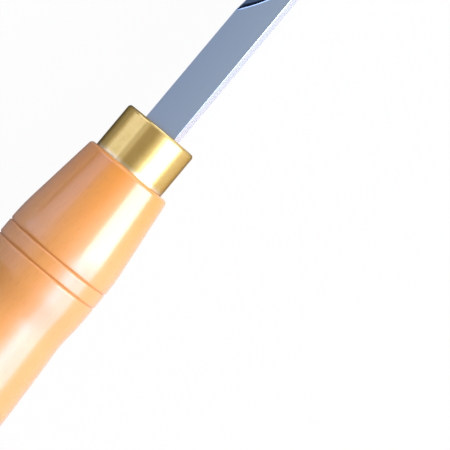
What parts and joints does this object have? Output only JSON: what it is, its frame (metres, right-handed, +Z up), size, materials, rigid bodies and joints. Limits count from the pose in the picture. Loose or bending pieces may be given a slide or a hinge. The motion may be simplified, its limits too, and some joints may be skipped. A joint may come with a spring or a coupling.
{
  "type": "corner chisel",
  "caption": "Hand-pushed corner chisel: a square steel bar milled to an L-shaped cutting end, a brass ferrule and a turned, lacquered beech handle with cut rings.",
  "frame": {"origin": "on the bench, under the middle of the tool's bounding box; the tool lies as it rests, on its tip and on the front swell of its handle", "axes": "+X from the butt of the handle towards the cutting edges, +Z up; the L opens upwards and towards +Y, and the tool's own axis points about 4.2 degrees below +X"},
  "size_m": [0.2584, 0.037, 0.0405],
  "materials": {
    "ground_steel": "bright surface-ground tool steel",
    "polished_brass": "turned and polished brass tube",
    "lacquered_beech": "turned beech under clear gloss lacquer"
  },
  "bodies": {
    "root": {"blade": "ground_steel", "ferrule": "polished_brass", "handle": "lacquered_beech"}
  },
  "joints": []
}
